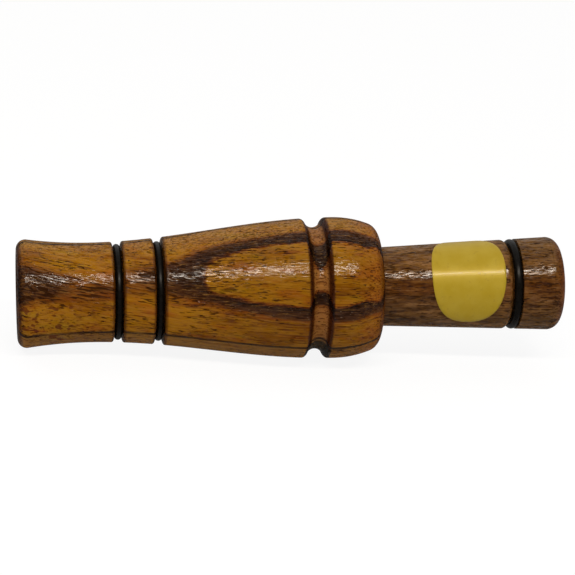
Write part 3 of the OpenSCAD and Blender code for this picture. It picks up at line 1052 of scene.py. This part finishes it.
turned(
    "barrel_turning",
    [barrel_outside(), barrel_inside()],
    [barrel_wood(), barrel_bore()],
    "barrel",
    "barrel",
)
turned(
    "stopper_turning",
    [stopper_outside(), stopper_inside()],
    [stopper_wood(), stopper_bore()],
    "stopper",
    "stopper",
)
rubber = black_rubber()
ring(
    "front_ring",
    FRONT_RING_PLACE,
    ring_middle_r(FRONT_RING_PLACE, FRONT_RING_RECESS),
    BARREL_RING_T,
    rubber,
    "barrel",
    "barrel_ring_front",
)
ring(
    "rear_ring",
    REAR_RING_PLACE,
    ring_middle_r(REAR_RING_PLACE, REAR_RING_RECESS),
    BARREL_RING_T,
    rubber,
    "barrel",
    "barrel_ring_rear",
)
ring(
    "stopper_ring_round",
    STOPPER_RING_PLACE,
    stopper_r(STOPPER_RING_PLACE) - STOPPER_RING_T / 2,
    STOPPER_RING_T,
    rubber,
    "ring_carrier",
    "stopper_ring",
)
reed()
label()


def relook(node, material):
    """Gives a CAD node that keeps its own shape another material."""
    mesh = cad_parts[node].data
    if mesh.materials:
        mesh.materials[0] = material
    else:
        mesh.materials.append(material)


relook("tone_trough", board_plastic())
relook("wedge", cork())

# Camera, fitted to the photograph's outline

VIEW_ELEVATION = 25.0
VIEW_TURN = 7.558
VIEW_ROLL = 1.1595
VIEW_DISTANCE = 618.93
FOCAL_PX = 2412.9
# Place of the row's origin in the photograph, from its middle, in millimetres at the object
ORIGIN_RIGHT = 0.777
ORIGIN_UP = -0.204
SENSOR = 36.0
CLIP_START = 0.01
CLIP_END = 50


def set_camera():
    e, turn, roll = (math.radians(a) for a in (VIEW_ELEVATION, VIEW_TURN, VIEW_ROLL))
    front = Vector((0, -math.cos(e), math.sin(e)))
    up = Vector((0, math.sin(e), math.cos(e)))
    to_camera = front * math.cos(turn) + Vector((-math.sin(turn), 0, 0))
    right = up.cross(to_camera).normalized()
    level_up = to_camera.cross(right)
    rolled_right = right * math.cos(roll) - level_up * math.sin(roll)
    rolled_up = right * math.sin(roll) + level_up * math.cos(roll)
    eye = to_camera * VIEW_DISTANCE - rolled_right * ORIGIN_RIGHT - rolled_up * ORIGIN_UP
    data = bpy.data.cameras.new("camera")
    data.sensor_width = SENSOR
    data.lens = FOCAL_PX / IMAGE_SIDE * SENSOR
    data.clip_start = CLIP_START
    data.clip_end = CLIP_END
    camera = placed("camera", data)
    axes = Matrix((rolled_right, rolled_up, to_camera)).transposed()
    camera.matrix_world = Matrix.Translation(eye * MM) @ axes.to_4x4()
    bpy.context.scene.camera = camera


set_camera()

# Floor, just under the lip and the lowest part of the bulge

FLOOR_SIDE = 6.0
FLOOR_DROP = 0.1
# How pale the floor is to the camera, to the light that it throws back, and to gloss
FLOOR_TONE_SEEN = 0.9
FLOOR_TONE_LIGHTING = 0.8
FLOOR_TONE_IN_GLOSS = 0.25
FLOOR_WHITE = 1.06
# Share of plain white that the camera sees over the floor's shadow, and that gloss sees of floor and world
FLOOR_WHITE_SHARE = 0.85
GLOSS_WHITE_SHARE = 0.15


def white_share(nodes, straight, in_gloss):
    """The share of a white that a ray sees, from the camera or through clear film, and in gloss."""
    path = nodes.add("ShaderNodeLightPath").outputs
    direct = nodes.largest(path["Is Camera Ray"], path["Is Transmission Ray"])
    direct = nodes.product(direct, straight)
    return nodes.math("MULTIPLY_ADD", path["Is Glossy Ray"], in_gloss, direct)


def floor_white():
    material = bpy.data.materials.new("floor_white")
    material.use_nodes = True
    nodes = Nodes(material.node_tree)
    path = nodes.add("ShaderNodeLightPath").outputs
    lighting = FLOOR_TONE_LIGHTING - FLOOR_TONE_IN_GLOSS
    lit = nodes.math("MULTIPLY_ADD", path["Is Diffuse Ray"], lighting, FLOOR_TONE_IN_GLOSS)
    tone = nodes.math("MULTIPLY_ADD", path["Is Camera Ray"], FLOOR_TONE_SEEN - FLOOR_TONE_IN_GLOSS, lit)
    diffuse = nodes.add("ShaderNodeBsdfDiffuse")
    nodes.link(tone, diffuse.inputs["Color"])
    white = nodes.add("ShaderNodeEmission")
    white.inputs["Strength"].default_value = FLOOR_WHITE
    share = white_share(nodes, FLOOR_WHITE_SHARE, GLOSS_WHITE_SHARE)
    nodes.show("ShaderNodeOutputMaterial", share, diffuse, white)
    return material


def set_floor():
    """A plane that touches the drop below the lip and the point of the bulge that reaches lowest from it."""
    lip = Vector((row_x(LIP_ROUND), -LIP_R))
    bulge = [Vector((row_x(x), -r)) for x, r in barrel_outside() if x > WAIST_PLACE and r > LIP_R]
    lowest = min(bulge, key=lambda p: (p.y - lip.y) / (p.x - lip.x))
    along = lowest - lip
    slope = math.atan2(along.y, along.x)
    contact = lip + Vector((math.sin(slope), -math.cos(slope))) * FLOOR_DROP
    half = FLOOR_SIDE / 2
    mesh = bpy.data.meshes.new("floor")
    corners = [(-half, -half, 0), (half, -half, 0), (half, half, 0), (-half, half, 0)]
    mesh.from_pydata(corners, [], [(0, 1, 2, 3)])
    mesh.materials.append(floor_white())
    floor = placed("floor", mesh)
    move = Matrix.Translation((contact.x * MM, 0, contact.y * MM))
    floor.matrix_world = move @ Matrix.Rotation(-slope, 4, "Y")


set_floor()

# Lights: a pale ceiling over darker walls, a long narrow lamp that draws the highlight along the call, and
# a wider warm one round it that lights gloss only

CEILING = 0.7
CEILING_LEAN = 37.0
CEILING_FADE_START = 0.3
CEILING_FADE_END = 0.9
WALLS = 0.05
LAMP_TURN = 56.0
LAMP_DISTANCE = 0.8
LAMP_LEN = 0.8
LAMP_W = 0.05
LAMP_POWER = 4.6
LAMP_COLOUR = (1.0, 0.95, 0.88)
GLOW_W = 0.18
GLOW_POWER = 5.4
GLOW_COLOUR = (1.0, 0.88, 0.68)


def set_world():
    """White to the camera. A room, bright above and behind and darker elsewhere, lights the object."""
    world = bpy.data.worlds.new("room")
    bpy.context.scene.world = world
    world.use_nodes = True
    nodes = Nodes(world.node_tree)
    lean = math.radians(CEILING_LEAN)
    direction = nodes.add("ShaderNodeTexCoord").outputs["Generated"]
    height = nodes.vector("DOT_PRODUCT", direction, (0, math.sin(lean), math.cos(lean)))
    room = nodes.add("ShaderNodeBackground")
    white = nodes.add("ShaderNodeBackground")
    for background in (room, white):
        background.inputs["Color"].default_value = (1, 1, 1, 1)
    level = nodes.step(height, CEILING_FADE_START, CEILING_FADE_END, WALLS, CEILING)
    nodes.link(level, room.inputs["Strength"])
    nodes.show("ShaderNodeOutputWorld", white_share(nodes, 1.0, GLOSS_WHITE_SHARE), room, white)


def set_lamp(name, width, power, colour, gloss_only):
    data = bpy.data.lights.new(name, "AREA")
    data.shape = "RECTANGLE"
    data.size = LAMP_LEN
    data.size_y = width
    data.energy = power
    data.color = colour
    lamp = placed(name, data)
    lamp.visible_diffuse = not gloss_only
    turn = math.radians(LAMP_TURN)
    away = Vector((0, -math.cos(turn), math.sin(turn)))
    right = Vector((1, 0, 0))
    axes = Matrix((right, away.cross(right), away)).transposed()
    lamp.matrix_world = Matrix.Translation(away * LAMP_DISTANCE) @ axes.to_4x4()


set_world()
set_lamp("strip_lamp", LAMP_W, LAMP_POWER, LAMP_COLOUR, False)
set_lamp("strip_glow", GLOW_W, GLOW_POWER, GLOW_COLOUR, True)

bpy.context.scene.view_settings.view_transform = "Standard"
